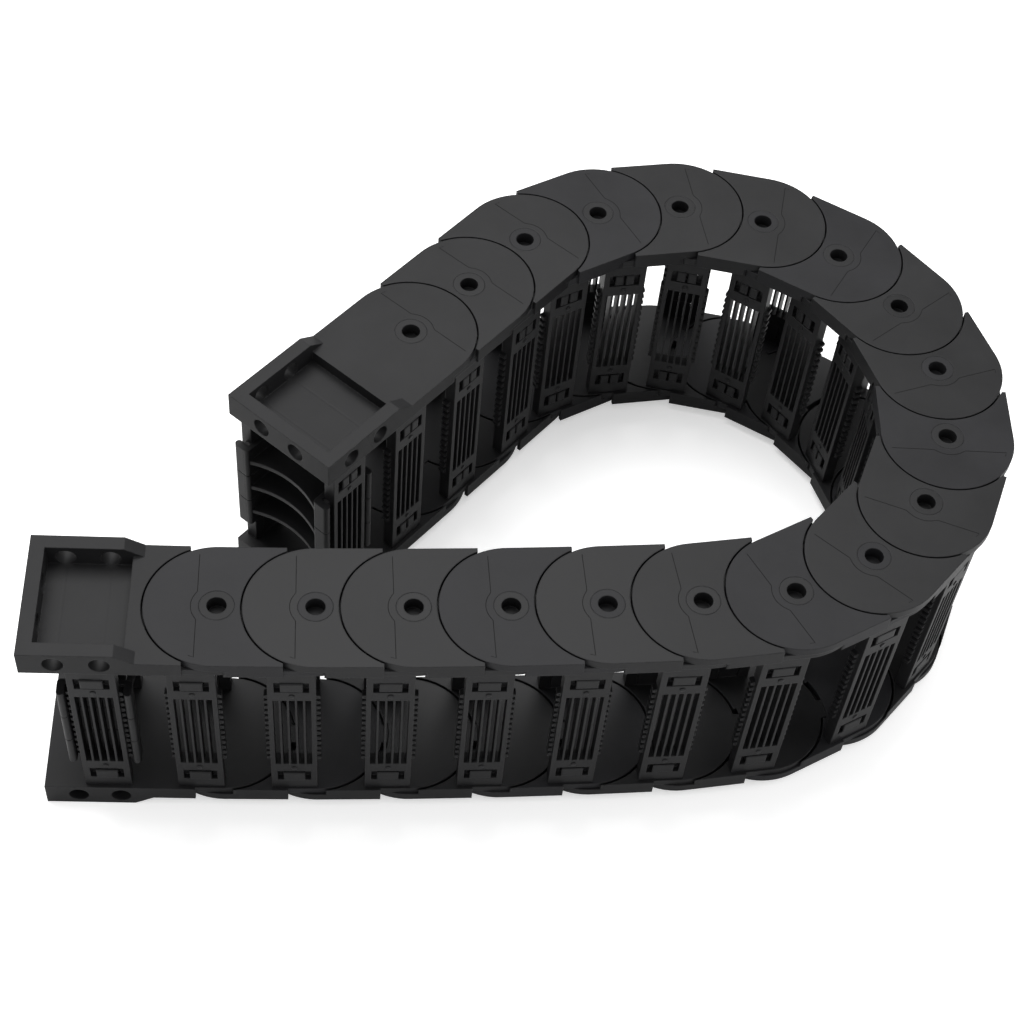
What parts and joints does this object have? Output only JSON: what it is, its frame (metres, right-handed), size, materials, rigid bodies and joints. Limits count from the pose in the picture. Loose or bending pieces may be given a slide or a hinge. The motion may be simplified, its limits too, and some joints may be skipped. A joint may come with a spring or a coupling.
{
  "type": "cable drag chain",
  "caption": "Black plastic cable drag chain: hinged open links with snap-in crossbars, bent into a loop between a male and a female end bracket with dividers.",
  "frame": {"origin": "centre of the front bracket's end face, midway between the two rows of side plates", "axes": "+X along the front bracket towards the chain, +Y towards the inside of the loop, +Z along the chain's width and its joint axes"},
  "size_m": [0.37, 0.2611, 0.1004],
  "materials": {
    "black_nylon": "matte",
    "black_nylon_bars": "matte"
  },
  "bodies": {
    "front_bracket": {"front_bracket_upper_plate": "black_nylon", "front_bracket_lower_plate": "black_nylon", "front_bracket_bars_and_dividers": "black_nylon_bars"},
    "link_01": {"link_01_upper_plate": "black_nylon", "link_01_lower_plate": "black_nylon", "link_01_crossbars": "black_nylon_bars"},
    "link_02": {"link_02_upper_plate": "black_nylon", "link_02_lower_plate": "black_nylon", "link_02_crossbars": "black_nylon_bars"},
    "link_03": {"link_03_upper_plate": "black_nylon", "link_03_lower_plate": "black_nylon", "link_03_crossbars": "black_nylon_bars"},
    "link_04": {"link_04_upper_plate": "black_nylon", "link_04_lower_plate": "black_nylon", "link_04_crossbars": "black_nylon_bars"},
    "link_05": {"link_05_upper_plate": "black_nylon", "link_05_lower_plate": "black_nylon", "link_05_crossbars": "black_nylon_bars"},
    "link_06": {"link_06_upper_plate": "black_nylon", "link_06_lower_plate": "black_nylon", "link_06_crossbars": "black_nylon_bars"},
    "link_07": {"link_07_upper_plate": "black_nylon", "link_07_lower_plate": "black_nylon", "link_07_crossbars": "black_nylon_bars"},
    "link_08": {"link_08_upper_plate": "black_nylon", "link_08_lower_plate": "black_nylon", "link_08_crossbars": "black_nylon_bars"},
    "link_09": {"link_09_upper_plate": "black_nylon", "link_09_lower_plate": "black_nylon", "link_09_crossbars": "black_nylon_bars"},
    "link_10": {"link_10_upper_plate": "black_nylon", "link_10_lower_plate": "black_nylon", "link_10_crossbars": "black_nylon_bars"},
    "link_11": {"link_11_upper_plate": "black_nylon", "link_11_lower_plate": "black_nylon", "link_11_crossbars": "black_nylon_bars"},
    "link_12": {"link_12_upper_plate": "black_nylon", "link_12_lower_plate": "black_nylon", "link_12_crossbars": "black_nylon_bars"},
    "link_13": {"link_13_upper_plate": "black_nylon", "link_13_lower_plate": "black_nylon", "link_13_crossbars": "black_nylon_bars"},
    "link_14": {"link_14_upper_plate": "black_nylon", "link_14_lower_plate": "black_nylon", "link_14_crossbars": "black_nylon_bars"},
    "link_15": {"link_15_upper_plate": "black_nylon", "link_15_lower_plate": "black_nylon", "link_15_crossbars": "black_nylon_bars"},
    "link_16": {"link_16_upper_plate": "black_nylon", "link_16_lower_plate": "black_nylon", "link_16_crossbars": "black_nylon_bars"},
    "link_17": {"link_17_upper_plate": "black_nylon", "link_17_lower_plate": "black_nylon", "link_17_crossbars": "black_nylon_bars"},
    "link_18": {"link_18_upper_plate": "black_nylon", "link_18_lower_plate": "black_nylon", "link_18_crossbars": "black_nylon_bars"},
    "back_bracket": {"back_bracket_upper_plate": "black_nylon", "back_bracket_lower_plate": "black_nylon", "back_bracket_bars_and_dividers": "black_nylon_bars"}
  },
  "joints": [
    {"name": "joint_01", "type": "hinge", "parent": "front_bracket", "child": "link_01", "pos_m": [0.0675, 0, 0], "axis": [0, 0, 1], "range_deg": [-0.83, 19.17]},
    {"name": "joint_02", "type": "hinge", "parent": "link_01", "child": "link_02", "pos_m": [0.1025, 0.00051, 0], "axis": [0, 0, 1], "range_deg": [-0.83, 19.17]},
    {"name": "joint_03", "type": "hinge", "parent": "link_02", "child": "link_03", "pos_m": [0.13748, 0.00152, 0], "axis": [0, 0, 1], "range_deg": [-0.83, 19.17]},
    {"name": "joint_04", "type": "hinge", "parent": "link_03", "child": "link_04", "pos_m": [0.17245, 0.00304, 0], "axis": [0, 0, 1], "range_deg": [-0.83, 19.17]},
    {"name": "joint_05", "type": "hinge", "parent": "link_04", "child": "link_05", "pos_m": [0.20739, 0.00507, 0], "axis": [0, 0, 1], "range_deg": [-0.83, 15.17]},
    {"name": "joint_06", "type": "hinge", "parent": "link_05", "child": "link_06", "pos_m": [0.2423, 0.0076, 0], "axis": [0, 0, 1], "range_deg": [-4.65, 11.35]},
    {"name": "joint_07", "type": "hinge", "parent": "link_06", "child": "link_07", "pos_m": [0.27689, 0.01296, 0], "axis": [0, 0, -1], "range_deg": [0, 20]},
    {"name": "joint_08", "type": "hinge", "parent": "link_07", "child": "link_08", "pos_m": [0.30756, 0.02982, 0], "axis": [0, 0, -1], "range_deg": [0, 20]},
    {"name": "joint_09", "type": "hinge", "parent": "link_08", "child": "link_09", "pos_m": [0.33061, 0.05615, 0], "axis": [0, 0, -1], "range_deg": [0, 20]},
    {"name": "joint_10", "type": "hinge", "parent": "link_09", "child": "link_10", "pos_m": [0.34327, 0.08878, 0], "axis": [0, 0, -1], "range_deg": [0, 20]},
    {"name": "joint_11", "type": "hinge", "parent": "link_10", "child": "link_11", "pos_m": [0.344, 0.12377, 0], "axis": [0, 0, -1], "range_deg": [0, 20]},
    {"name": "joint_12", "type": "hinge", "parent": "link_11", "child": "link_12", "pos_m": [0.33272, 0.15691, 0], "axis": [0, 0, -1], "range_deg": [0, 20]},
    {"name": "joint_13", "type": "hinge", "parent": "link_12", "child": "link_13", "pos_m": [0.31079, 0.18418, 0], "axis": [0, 0, -1], "range_deg": [0, 20]},
    {"name": "joint_14", "type": "hinge", "parent": "link_13", "child": "link_14", "pos_m": [0.28085, 0.20232, 0], "axis": [0, 0, -1], "range_deg": [0, 20]},
    {"name": "joint_15", "type": "hinge", "parent": "link_14", "child": "link_15", "pos_m": [0.24652, 0.20911, 0], "axis": [0, 0, -1], "range_deg": [0, 20]},
    {"name": "joint_16", "type": "hinge", "parent": "link_15", "child": "link_16", "pos_m": [0.21193, 0.20376, 0], "axis": [0, 0, -1], "range_deg": [0, 20]},
    {"name": "joint_17", "type": "hinge", "parent": "link_16", "child": "link_17", "pos_m": [0.18126, 0.1869, 0], "axis": [0, 0, -1], "range_deg": [0, 20]},
    {"name": "joint_18", "type": "hinge", "parent": "link_17", "child": "link_18", "pos_m": [0.15821, 0.16056, 0], "axis": [0, 0, 1], "range_deg": [0, 20]},
    {"name": "joint_19", "type": "hinge", "parent": "link_18", "child": "back_bracket", "pos_m": [0.13515, 0.13423, 0], "axis": [0, 0, 1], "range_deg": [0, 20]}
  ]
}
